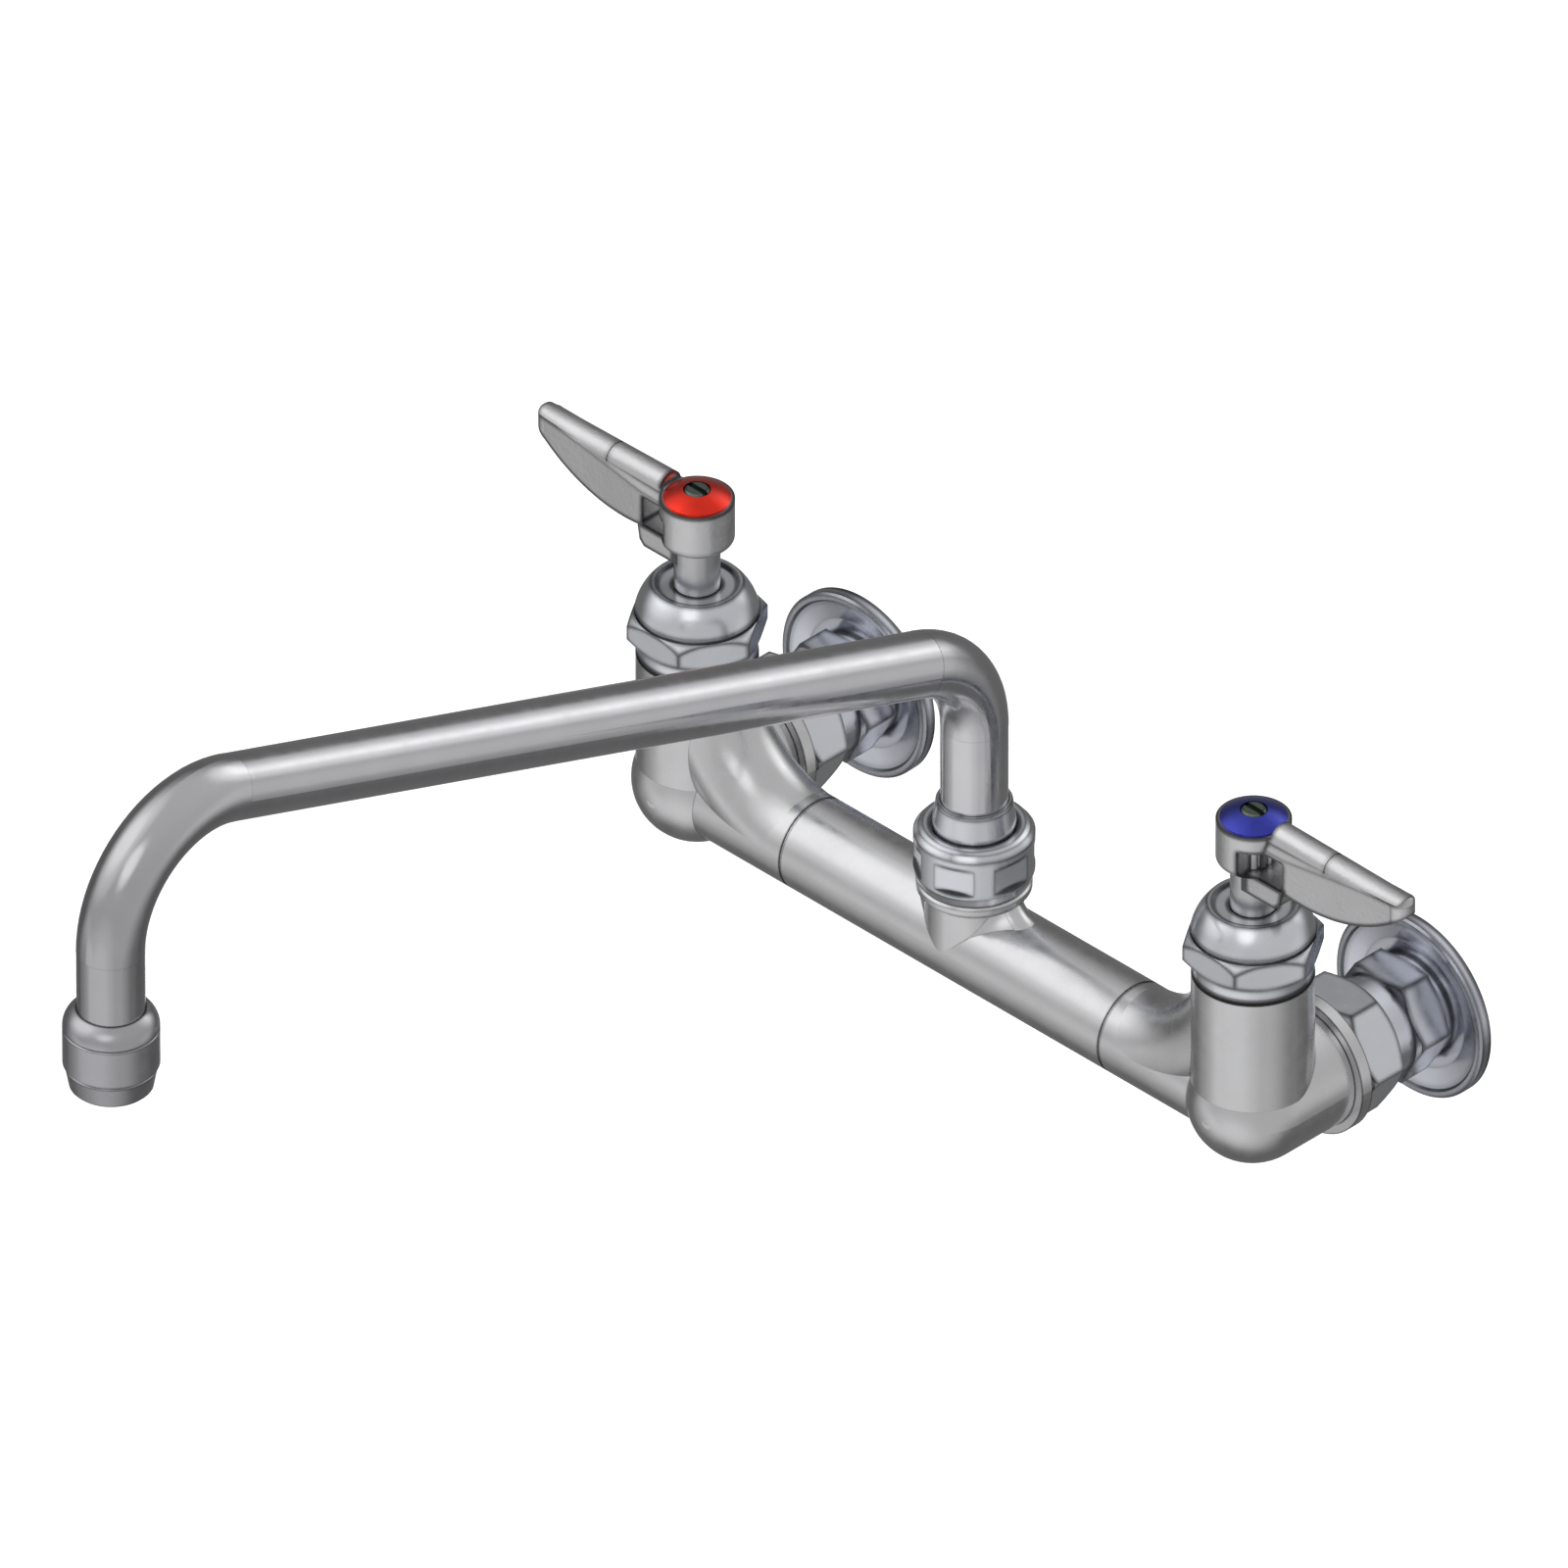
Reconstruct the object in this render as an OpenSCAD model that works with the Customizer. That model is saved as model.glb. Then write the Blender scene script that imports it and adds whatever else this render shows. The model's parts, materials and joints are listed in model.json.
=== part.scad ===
// Commercial wall faucet: two quarter-turn valves on one cast body, and a swing spout.
// Origin: on the wall, midway between the two supply inlets. +X is the cold side,
// -Y points away from the wall towards the user, and +Z is up. All sizes are millimetres.

/* [Layout] */
// Distance between the two supply inlets, centre to centre
inlet_centres = 203.2; // [190:0.1:240]
// Distance from the wall to the plane of the valve axes
wall_reach = 61; // [60:0.5:80]

/* [Body casting] */
// Diameter of the cross bar that joins the two valves
bar_d = 26.2; // [26.1:0.1:27]
// Diameter of the water passage in the cross bar
bar_bore_d = 14; // [12.5:0.5:16]
// Distance from a valve axis to the seam where its elbow leaves the bar
elbow_run = 43.3; // [42.5:0.1:46]
// Diameter of the elbow
elbow_d = 25.8; // [25.2:0.1:25.8]
// Diameter of the water passage in the elbow
elbow_bore_d = 11; // [8:0.5:11.5]
// Diameter of a valve barrel
barrel_d = 32.2; // [31.4:0.1:34]
// Height of the barrel rim above the inlet axis
barrel_top_z = 40; // [39:0.1:42]
// Diameter of the round bowl under a barrel and of its boss towards the wall
bowl_d = 34.6; // [34.4:0.1:38]
// Diameter of the collar at the end of the boss
collar_d = 39.8; // [39:0.1:42]
// Thickness of the collar
collar_t = 3.7; // [2:0.1:4]
// Diameter of the swivel boss in the middle of the bar
swivel_boss_d = 30.4; // [28.8:0.1:31]
// Radius of the fillets between the bar and the swivel boss
saddle_fillet_r = 10; // [8:0.5:11]

/* [Supply couplings] */
// Width across flats of the coupling nut
coupling_af = 33.6; // [32.6:0.1:36]
// Length of the coupling nut
coupling_nut_l = 14.3; // [13.5:0.1:15]
// Diameter of the male union thread of the inlet flange
union_thread_d = 28.3; // [28:0.1:29]
// Width across flats of the inlet flange hexagon
flange_af = 29.6; // [29.2:0.1:32]
// Length of the inlet flange hexagon
flange_hex_l = 11; // [9:0.1:11.5]
// Diameter of the wall disc of the inlet flange
flange_d = 53.1; // [50:0.1:60]
// Thickness of the rim of the wall disc
flange_rim_t = 3.7; // [3:0.1:4.5]
// Minor diameter of the female pipe thread in the inlet flange
inlet_thread_d = 18.4; // [17.8:0.1:19]
// Depth of the female pipe thread
inlet_thread_l = 15; // [12:0.5:18]

/* [Valves] */
// Width across flats of the bonnet
bonnet_af = 32.9; // [32.2:0.1:35]
// Height of the bonnet above its gasket
bonnet_h = 20.9; // [20.4:0.1:22]
// Diameter of the cartridge housing
cartridge_d = 18.6; // [18.2:0.1:18.9]
// Diameter of the valve stem
stem_d = 12.2; // [11.4:0.1:12.4]
// Diameter of the splined end of the stem
spline_d = 9.8; // [9:0.1:10.4]
// Diameter of the ceramic discs
disc_d = 16; // [15:0.1:16.4]
// Thickness of a ceramic disc
disc_t = 3; // [2.6:0.1:3.2]

/* [Handles] */
// Diameter of the handle hub
hub_d = 19.8; // [19.2:0.1:22]
// Height of the hub
hub_h = 13.4; // [13:0.1:15]
// Gap between the bonnet and the underside of the hub
hub_lift = 13.2; // [12.6:0.1:15]
// Reach of the lever from the valve axis
lever_reach = 57; // [54:0.5:70]
// Width of the lever
lever_w = 10; // [9:0.1:11]
// Radius of the rounded tip of the lever, seen from above
lever_tip_r = 3.6; // [3:0.1:4]
// Radius of the curved underside of the lever
lever_sweep_r = 50; // [46:0.5:64]
// Diameter of the coloured index ring
index_d = 17.8; // [16:0.1:18.6]
// Height of the domed index ring
index_h = 2.6; // [2.2:0.1:3]
// Diameter of the head of the handle screw
screw_head_d = 6.7; // [6:0.1:7]

/* [Spout] */
// Forward distance from the swivel axis to the outlet axis
spout_reach = 313.1; // [220:0.1:360]
// Outer diameter of the spout tube
spout_d = 17.8; // [17:0.1:18]
// Wall thickness of the spout tube
spout_wall = 1.2; // [0.8:0.1:2]
// Angle at which the spout arm rises from the horizontal
spout_rise = 19; // [10:0.1:24]
// Height where the axes of the riser and the arm meet
spout_corner_z = 89.2; // [88:0.1:110]
// Centre line radius of the bend above the riser
spout_rear_r = 30.5; // [20:0.5:32]
// Centre line radius of the bend above the outlet
spout_front_r = 31.7; // [26:0.1:34]
// Height of the aerator from its outlet to the top of the adapter
aerator_h = 24.2; // [23.5:0.1:26]
// Length of the straight spout end between the front bend and the adapter
spout_drop = 17.6; // [8:0.1:30]
// Diameter of the aerator
aerator_d = 25.2; // [24.6:0.1:27]
// Width across flats of the swivel nut
swivel_af = 29.8; // [28.4:0.1:30.4]
// Diameter of the sleeve on the riser
sleeve_d = 20.2; // [19.8:0.1:20.6]
// Height of the top of the sleeve
sleeve_top_z = 44; // [42:0.1:50]

/* [Hidden] */

// Fineness of round surfaces
$fn = 96;
// Overrun of every cut
over = 0.5;
// Running clearance between turning pieces
run_gap = 0.05;
// Loose clearance on the radius where a piece only passes through
pass_gap = 0.3;
// Clearance on the radius of screw threads and of brazed sockets
thread_gap = 0.06;
// Small bevel on edges
edge = 0.6;
// Sides and their directions
HOT = -1;
COLD = 1;

// Colours
chrome_tone = [0.68, 0.69, 0.71];
cast_tone = [0.62, 0.63, 0.65];
flange_tone = [0.55, 0.58, 0.66];
brass_tone = [0.78, 0.65, 0.36];
rubber_tone = [0.12, 0.12, 0.12];
fibre_tone = [0.45, 0.25, 0.18];
ceramic_tone = [0.92, 0.91, 0.88];
polymer_tone = [0.85, 0.85, 0.82];
screw_tone = [0.20, 0.25, 0.20];
red_tone = [0.82, 0.12, 0.08];
blue_tone = [0.12, 0.22, 0.70];

// Elbow: its bend ends inside the barrel, just under the rim
elbow_shift = 2.3;
elbow_rim_gap = 1.5;
elbow_bend_r = elbow_run - elbow_shift;
elbow_turn = acos((elbow_bend_r - barrel_top_z + elbow_rim_gap) / (elbow_bend_r - elbow_d / 2));
elbow_bore_turn = 66;
elbow_lead = 2;
seam_x = inlet_centres / 2 - elbow_run;
seam_w = 0.7;
seam_depth = 0.3;

// Space inside a barrel, as heights above the inlet axis
chamber_d = 23.2;
chamber_floor_z = 10;
seat_bore_d = 11;
inlet_bore_d = 14;
ledge_z = 27.2;
bonnet_thread_d = 26.4;

// Supply line, as distances behind the valve axis
flange_neck_l = 4.5;
thread_show = 7;
thread_in = 2.5;
coupling_washer_t = 2;
spud_head_t = 3;
spud_in = 8;
spud_d = 23.2;
spud_bore_d = 15;
spud_head_d = 27.4;
washer_bore_d = 17;
nut_gap = 0.2;
nut_nose_l = 2.4;
nut_end = wall_reach - flange_neck_l - flange_hex_l - thread_show;
nut_start = nut_end - coupling_nut_l;
union_face = nut_end - thread_in;
washer_start = union_face - coupling_washer_t;
spud_head_start = washer_start - spud_head_t;
collar_end = nut_start - nut_gap;
boss_len = collar_end - collar_t;
spud_start = collar_end - spud_in;

// Inlet flange: dish of its wall disc, and its waterway
flange_neck_d = 28.6;
flange_lip_w = 2;
flange_dish_w = 6;
flange_dish_depth = 1.9;
flange_lip_drop = 0.6;
flange_bore_d = 15;

// Swivel boss, neck and bore
swivel_boss_z = 19;
swivel_thread_d = 24.4;
swivel_neck_z = 31;
swivel_port_d = 12;
swivel_bore_d = 17.6;
swivel_bore_floor_z = 13.2;

// Saddle: fillets from the bar up to the rim of the swivel boss. A ball that rolls in the
// corner of bar and boss follows an ellipse, which three arcs stand for on each side.
boss_neck_d = bar_d - 0.2;
boss_flare_h = 2.2;
boss_bevel = 0.7;
saddle_bite = 0.3;
saddle_end_share = 0.65;
saddle_lap = 2;
ball_path_r = bar_d / 2 + saddle_fillet_r;
saddle_top_z = ball_path_r
    - sqrt(pow(saddle_fillet_r, 2) - pow(ball_path_r - swivel_boss_d / 2, 2));

// Bonnet: gasket, collar, hexagon and dome
bonnet_gasket_t = 0.9;
bonnet_gasket_d = 30.6;
bonnet_seat_z = barrel_top_z + bonnet_gasket_t;
bonnet_top_z = bonnet_seat_z + bonnet_h;
bonnet_collar_h = 3.7;
bonnet_collar_d = 31.6;
bonnet_hex_h = 8.4;
bonnet_hex_z = bonnet_seat_z + bonnet_collar_h;
bonnet_dome_z = bonnet_hex_z + bonnet_hex_h;
bonnet_dome_r = 16.7;
bonnet_dome_drop = 11.5;
bonnet_recess_d = 21.2;
bonnet_recess_h = 0.9;
bonnet_roof_t = 3.4;
bonnet_foot_bevel = 2.3;
bonnet_shoulder = 2;
bonnet_groove_w = 0.9;
bonnet_groove_depth = 0.9;
bonnet_skirt_end_z = 29.8;

// Cartridge: heights above the inlet axis
seat_gasket_t = 2.9;
seat_gasket_d = 16.4;
cartridge_foot_z = chamber_floor_z + 1.2;
cartridge_flange_d = 26;
cartridge_wall = 0.8;
cartridge_cavity_d = cartridge_d - 2 * cartridge_wall;
fixed_disc_z = chamber_floor_z + seat_gasket_t;
moving_disc_z = fixed_disc_z + disc_t + run_gap;
driver_z = moving_disc_z + disc_t;
driver_h = 3.2;
driver_d = cartridge_cavity_d - 2 * pass_gap;
cavity_top_z = driver_z + driver_h + run_gap;
cartridge_top_z = bonnet_top_z - bonnet_roof_t - pass_gap;
port_w = 6;
port_h = 3.6;
disc_port_d = 4.6;
disc_port_offset = 4.2;

// Stem: ring grooves, splines and the screw hole
ring_section_d = 1.8;
ring_groove_w = 2.2;
stem_ring_z = [33, 40];
hub_z = bonnet_top_z + hub_lift;
hub_top_z = hub_z + hub_h;
spline_h = 9;
spline_count = 12;
spline_cut = 0.8;
screw_shank_d = 4;
screw_l = 10;
screw_head_h = 3;
screw_slot_w = 1.2;
screw_slot_depth = 1.2;
index_rim_h = 0.4;

// Handle: hub, lever, window and the lug under the window
hub_round = 2;
crown_r = 4;
crown_drop = 0.7;
crown_fall = 1;
crease_x = 29.3;
crease_w = 0.5;
crease_depth = 0.25;
shoulder_rise = 2.5;
shoulder_x = 16;
shoulder_drop = 3.5;
shoulder_h = 2.6;
shoulder_w = 1.3;
lever_top_rise = 3.6;
lever_keel = 24;
lever_belly = 1.4;
lever_tip_step = 0.1;
tip_round = 2.2;
tip_rise = 2.6;
lever_root = 2;
window_start = 3;
window_end = 15.3;
window_floor = 0.5;
window_h = 8;
lug_w = 12;
lug_drop = 5.8;
lug_nose = 15.2;
lug_bevel = 1.6;

// Swivel nut, as heights above the inlet axis
nut_top_z = 36;
nut_lip_z = 33.55;
nut_opening_d = 23.2;
nut_crown_d = 26.8;
nut_body_d = 31.8;
nut_foot_h = 3.3;
nut_shoulder_h = 2.2;
nut_flat_z = 23.4;
nut_flat_h = 7.8;
nut_turn = 24.5;
swivel_washer_t = 0.6;
sleeve_shoulder_d = 23.8;
sleeve_base_d = 22;
sleeve_cone_z = 37.4;
sleeve_shoulder_z = swivel_neck_z + swivel_washer_t + run_gap;
sleeve_foot_z = 13.6;
sleeve_bore_d = 12.6;
sleeve_socket_z = 35.2;
sleeve_foot_d = swivel_bore_d - 2 * run_gap;
swivel_ring_z = [18.5, 24.5];

// Spout bends are a hair thicker than the straights, which run a little way into them
bend_step = 0.1;
bend_lap = 0.5;
// Spout path in the plane of the arm, as forward distance and height
riser_top_z = spout_corner_z - spout_rear_r * tan((90 - spout_rise) / 2);
arm_start = spout_rear_r * tan((90 - spout_rise) / 2);
arm_end = spout_reach / cos(spout_rise) - spout_front_r * tan((90 + spout_rise) / 2);
drop_top_z = spout_corner_z + spout_reach * tan(spout_rise)
    - spout_front_r * tan((90 + spout_rise) / 2);

// Outlet, as heights above the inlet axis
adapter_top_z = drop_top_z - spout_drop;
outlet_z = adapter_top_z - aerator_h;
adapter_crown_h = 5.6;
adapter_crown_r = 6;
adapter_ledge = 7.5;
adapter_thread_d = 21.8;
adapter_thread_l = 7;
adapter_bore_d = 15;
adapter_seat_z = adapter_top_z - adapter_crown_h;
adapter_end_z = adapter_seat_z - adapter_thread_l;
tube_end_z = adapter_top_z - adapter_ledge;
aerator_washer_t = 1.5;
aerator_washer_d = 21.2;
screens_h = 1.3;
screens_d = 21.2;
screen_rim_w = 1;
screen_t = 0.35;
screen_hole_d = 1.5;
hole_pitch = 3;
screens_top_z = adapter_end_z - aerator_washer_t;
screens_z = screens_top_z - screens_h;
cap_seat_z = screens_z - 2;
cap_thread_d = 21.8;
cap_wall = 1.1;
cap_floor_t = 2;
cap_mouth_d = 18;
cap_taper = 1.6;
insert_d = cap_thread_d - 2 * cap_wall - 2 * thread_gap;
insert_hole_d = 1.9;

// Moves children to a valve axis
module at_valve(side) {
    translate([side * inlet_centres / 2, -wall_reach, 0]) children();
}

// Moves children to a valve axis and turns their +X outwards, as the closed lever points
module at_handle(side) {
    at_valve(side) rotate([0, 0, side == HOT ? 180 : 0]) children();
}

// Lays turned pieces along the supply axis: their own Z becomes the distance behind the valve
module along_supply(side) {
    at_valve(side) rotate([-90, 0, 0]) children();
}

// Moves children to the swivel axis
module at_swivel() {
    translate([0, -wall_reach, 0]) children();
}

// Moves children to the outlet axis of the spout
module at_outlet() {
    translate([0, -wall_reach - spout_reach, 0]) children();
}

// Stands children in the plane of the arm: their X points forward and their Y points up
module in_arm_plane() {
    at_swivel() rotate([90, 0, -90]) children();
}

// Plain round piece between two heights
module turned(d, z0, z1) {
    translate([0, 0, z0]) cylinder(d = d, h = z1 - z0);
}

// Ring between two heights
module ring(d_out, d_in, z0, z1) {
    difference() {
        turned(d_out, z0, z1);
        turned(d_in, z0 - over, z1 + over);
    }
}

// Hexagonal prism between two heights
module hexagon(af, z0, z1) {
    translate([0, 0, z0]) cylinder(r = af / sqrt(3), h = z1 - z0, $fn = 6);
}

// Torus of round section, for sealing rings
module o_ring(d_out, section_d, z) {
    translate([0, 0, z]) rotate_extrude()
        translate([(d_out - section_d) / 2, 0]) circle(d = section_d);
}

// Elbow from the bar seam up into the barrel, starting at the origin and heading for +X
module elbow(d, turn) {
    translate([0, 0, elbow_bend_r]) rotate([90, 0, 0]) rotate([0, 0, -90])
        rotate_extrude(angle = turn) translate([elbow_bend_r, 0]) circle(d = d);
}

// Bowl, boss and collar of one valve, turned about the supply axis
module bowl_and_boss(side) {
    along_supply(side) {
        rotate_extrude() {
            intersection() {
                circle(d = bowl_d);
                translate([0, -bowl_d]) square([bowl_d, bowl_d + over]);
            }
            square([bowl_d / 2, collar_end]);
        }
        turned(collar_d, boss_len, collar_end);
    }
}

// Swivel boss with its rim and its threaded neck
module swivel_boss() {
    rim_r = swivel_boss_d / 2;
    rotate_extrude() polygon([
        [0, 0], [boss_neck_d / 2, 0], [boss_neck_d / 2, saddle_top_z - boss_flare_h],
        [rim_r, saddle_top_z - saddle_bite], [rim_r, swivel_boss_z - boss_bevel],
        [rim_r - boss_bevel, swivel_boss_z], [0, swivel_boss_z]
    ]);
    turned(swivel_thread_d, 0, swivel_neck_z);
}

// Fillets on both sides of the swivel boss
module saddle() {
    bar_r = bar_d / 2;
    end_r = ball_path_r * saddle_end_share;
    end_x = ball_path_r * sqrt(2) - end_r;
    side_r = (pow(end_x, 2) + pow(ball_path_r, 2) - pow(end_r, 2)) / (2 * (ball_path_r - end_r));
    turn = atan2(side_r - ball_path_r, end_x);
    tube_r = saddle_fillet_r + saddle_bite;
    difference() {
        intersection() {
            linear_extrude(saddle_top_z + saddle_bite) polygon([
                for (a = [0 : 15 : 345]) [ball_path_r * cos(a), (bar_r - saddle_bite) * sin(a)]
            ]);
            rotate([90, 0, 90]) linear_extrude(2 * ball_path_r, center = true) polygon([
                for (a = [0 : 15 : 180]) [(bar_r - saddle_bite) * cos(a), ball_path_r * sin(a)]
            ]);
        }
        for (half = [0, 180]) rotate([0, 0, half]) rotate([0, -45, 0]) {
            translate([end_x, 0, 0]) rotate([0, 0, -turn - saddle_lap])
                rotate_extrude(angle = 2 * (turn + saddle_lap))
                    translate([end_r, 0]) circle(r = tube_r);
            for (m = [0, 1]) mirror([0, m, 0]) translate([0, ball_path_r - side_r, 0])
                rotate([0, 0, turn]) rotate_extrude(angle = 90 - turn + saddle_lap)
                    translate([side_r, 0]) circle(r = tube_r + bend_step);
        }
    }
}

module body_casting() {
    color(cast_tone) difference() {
        union() {
            at_swivel() rotate([0, 90, 0]) cylinder(d = bar_d, h = inlet_centres, center = true);
            at_swivel() {
                swivel_boss();
                saddle();
            }
            for (side = [HOT, COLD]) {
                at_valve(side) turned(barrel_d, 0, barrel_top_z);
                bowl_and_boss(side);
                at_handle(side) translate([-elbow_run, 0, 0]) elbow(elbow_d, elbow_turn);
            }
        }
        at_swivel() {
            rotate([0, 90, 0]) cylinder(d = bar_bore_d, h = 2 * seam_x, center = true);
            turned(swivel_port_d, 0, swivel_neck_z);
            turned(swivel_bore_d, swivel_bore_floor_z, swivel_neck_z + over);
        }
        for (side = [HOT, COLD]) {
            at_valve(side) {
                turned(chamber_d, chamber_floor_z, barrel_top_z + over);
                turned(bonnet_thread_d, ledge_z, barrel_top_z + over);
                turned(seat_bore_d, 0, barrel_top_z);
            }
            along_supply(side) {
                turned(inlet_bore_d, -inlet_bore_d / 2, collar_end);
                turned(spud_d + 2 * thread_gap, spud_start, collar_end + over);
            }
            at_handle(side) translate([-elbow_run, 0, 0]) {
                elbow(elbow_bore_d, elbow_bore_turn);
                rotate([0, -90, 0]) cylinder(d = elbow_bore_d, h = elbow_lead);
                rotate([0, 90, 0]) ring(barrel_d, bar_d - 2 * seam_depth, -seam_w / 2, seam_w / 2);
            }
        }
    }
}

// Flange with its wall disc, hexagon and male union thread
module inlet_flange(side) {
    hex_start = nut_end + thread_show;
    hex_end = hex_start + flange_hex_l;
    lip_r = flange_d / 2 - flange_lip_w;
    rim = wall_reach - flange_rim_t;
    color(flange_tone) along_supply(side) difference() {
        union() {
            turned(union_thread_d, union_face, hex_start);
            intersection() {
                hexagon(flange_af, hex_start, hex_end);
                rotate_extrude() polygon([
                    [0, hex_start], [flange_af / 2, hex_start],
                    [flange_af / 2 + 2 * edge, hex_start + edge], [flange_af, hex_start + edge],
                    [flange_af, hex_end - edge], [flange_af / 2 + 2 * edge, hex_end - edge],
                    [flange_af / 2, hex_end], [0, hex_end]
                ]);
            }
            rotate_extrude() polygon([
                [0, hex_end - edge], [flange_neck_d / 2, hex_end - edge],
                [flange_neck_d / 2, rim + flange_dish_depth],
                [lip_r - flange_dish_w, rim + flange_dish_depth],
                [lip_r - edge, rim + flange_lip_drop], [lip_r, rim],
                [flange_d / 2 - edge, rim], [flange_d / 2, rim + edge],
                [flange_d / 2, wall_reach], [0, wall_reach]
            ]);
        }
        turned(flange_bore_d, union_face - over, wall_reach + over);
        turned(inlet_thread_d, wall_reach - inlet_thread_l, wall_reach + over);
    }
}

// Nut that pulls the spud against the inlet flange
module coupling_nut(side) {
    corner_r = coupling_af / sqrt(3);
    nose_r = coupling_af / 2 - edge;
    color(chrome_tone) along_supply(side) difference() {
        intersection() {
            hexagon(coupling_af, nut_start, nut_end);
            rotate_extrude() polygon([
                [0, nut_start], [nose_r, nut_start], [nose_r + edge, nut_start + edge],
                [corner_r, nut_start + nut_nose_l], [corner_r, nut_end - nut_nose_l],
                [nose_r + edge, nut_end - edge], [nose_r, nut_end], [0, nut_end]
            ]);
        }
        turned(spud_d + 2 * pass_gap, nut_start - over, nut_end);
        turned(union_thread_d + 2 * thread_gap, spud_head_start, nut_end + over);
    }
}

module coupling_washer(side) {
    color(fibre_tone) along_supply(side)
        ring(spud_head_d, washer_bore_d, washer_start, union_face);
}

// Tailpiece screwed into the boss; its head is pulled by the coupling nut
module coupling_spud(side) {
    color(brass_tone) along_supply(side) difference() {
        union() {
            turned(spud_d, spud_start, washer_start);
            turned(spud_head_d, spud_head_start, washer_start);
        }
        turned(spud_bore_d, spud_start - over, washer_start + over);
    }
}

module seat_gasket(side) {
    color(rubber_tone) at_valve(side)
        ring(seat_gasket_d, seat_bore_d, chamber_floor_z, chamber_floor_z + seat_gasket_t);
}

// Ceramic disc with two ports, which lie across the ports of its partner when shut
module ceramic_disc(z, turn) {
    color(ceramic_tone) difference() {
        turned(disc_d, z, z + disc_t);
        for (a = [0, 180]) rotate([0, 0, a + turn]) translate([disc_port_offset, 0, 0])
            turned(disc_port_d, z - over, z + disc_t + over);
    }
}

module fixed_disc(side) {
    at_handle(side) ceramic_disc(fixed_disc_z, 90);
}

module moving_disc(side) {
    at_handle(side) ceramic_disc(moving_disc_z, 0);
}

// Brass housing clamped between the chamber ledge and the bonnet
module cartridge_housing(side) {
    color(brass_tone) at_handle(side) difference() {
        union() {
            turned(cartridge_d, cartridge_foot_z, cartridge_top_z);
            turned(cartridge_flange_d, ledge_z, bonnet_skirt_end_z);
        }
        turned(cartridge_cavity_d, cartridge_foot_z - over, cavity_top_z);
        turned(stem_d + 2 * run_gap, cartridge_foot_z, cartridge_top_z + over);
        for (a = [0, 90]) rotate([0, 0, a]) translate([-cartridge_d, -port_w / 2, moving_disc_z])
            cube([2 * cartridge_d, port_w, port_h]);
    }
}

module bonnet_gasket(side) {
    color(fibre_tone) at_valve(side)
        ring(bonnet_gasket_d, bonnet_thread_d, barrel_top_z, bonnet_seat_z);
}

// Bonnet screwed into the barrel: collar, hexagon, a groove round its top, and dome
module bonnet(side) {
    corner_r = bonnet_af / sqrt(3);
    dome_centre_z = bonnet_top_z - bonnet_dome_drop;
    dome_foot_r = sqrt(pow(bonnet_dome_r, 2) - pow(bonnet_dome_z - dome_centre_z, 2));
    color(chrome_tone) at_valve(side) difference() {
        union() {
            turned(bonnet_thread_d - 2 * thread_gap, bonnet_skirt_end_z, bonnet_hex_z);
            turned(bonnet_collar_d, bonnet_seat_z, bonnet_hex_z);
            intersection() {
                hexagon(bonnet_af, bonnet_hex_z, bonnet_top_z);
                rotate_extrude() {
                    polygon([
                        [0, bonnet_hex_z], [bonnet_collar_d / 2, bonnet_hex_z],
                        [corner_r, bonnet_hex_z + bonnet_foot_bevel],
                        [corner_r, bonnet_dome_z - bonnet_shoulder],
                        [2 * dome_foot_r - corner_r, bonnet_dome_z + bonnet_shoulder],
                        [0, bonnet_dome_z + bonnet_shoulder]
                    ]);
                    intersection() {
                        translate([0, dome_centre_z]) circle(r = bonnet_dome_r);
                        translate([0, bonnet_dome_z - edge])
                            square([bonnet_dome_r, bonnet_top_z - bonnet_dome_z + edge]);
                    }
                }
            }
        }
        turned(cartridge_d + 2 * thread_gap, bonnet_skirt_end_z - over, bonnet_top_z - bonnet_roof_t);
        turned(stem_d + 2 * pass_gap, bonnet_skirt_end_z, bonnet_top_z + over);
        turned(bonnet_recess_d, bonnet_top_z - bonnet_recess_h, bonnet_top_z + over);
        ring(2 * corner_r, 2 * (dome_foot_r - bonnet_groove_depth),
            bonnet_dome_z, bonnet_dome_z + bonnet_groove_w);
    }
}

// Stem with the driver of the moving disc, ring grooves, splines and a screw hole
module stem(side) {
    color(chrome_tone) at_handle(side) difference() {
        union() {
            turned(driver_d, driver_z, driver_z + driver_h);
            turned(stem_d, driver_z, hub_z);
            turned(spline_d, driver_z, hub_z + spline_h);
        }
        for (z = stem_ring_z)
            ring(stem_d + over, stem_d - run_gap - 2 * ring_section_d,
                z - ring_groove_w / 2, z + ring_groove_w / 2);
        for (i = [0 : spline_count - 1]) rotate([0, 0, i * 360 / spline_count])
            translate([spline_d / 2, 0, 0]) turned(spline_cut, hub_z, hub_z + spline_h + over);
        turned(screw_shank_d, hub_top_z - screw_l - over, hub_top_z);
    }
}

module stem_o_rings(side) {
    color(rubber_tone) at_valve(side) for (z = stem_ring_z)
        o_ring(stem_d - run_gap, ring_section_d, z);
}

// Side outline of the lever: X is the distance from the valve axis, Y the height
module lever_outline() {
    top = hub_top_z + lever_top_rise;
    belly_z = hub_z - lever_belly;
    difference() {
        intersection() {
            translate([lever_keel, belly_z + lever_sweep_r]) circle(r = lever_sweep_r, $fn = 4 * $fn);
            translate([lever_root, belly_z]) square([lever_reach + over - lever_root, top - belly_z]);
        }
        translate([0, hub_top_z]) square([hub_d / 2, lever_top_rise + over]);
    }
}

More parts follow.
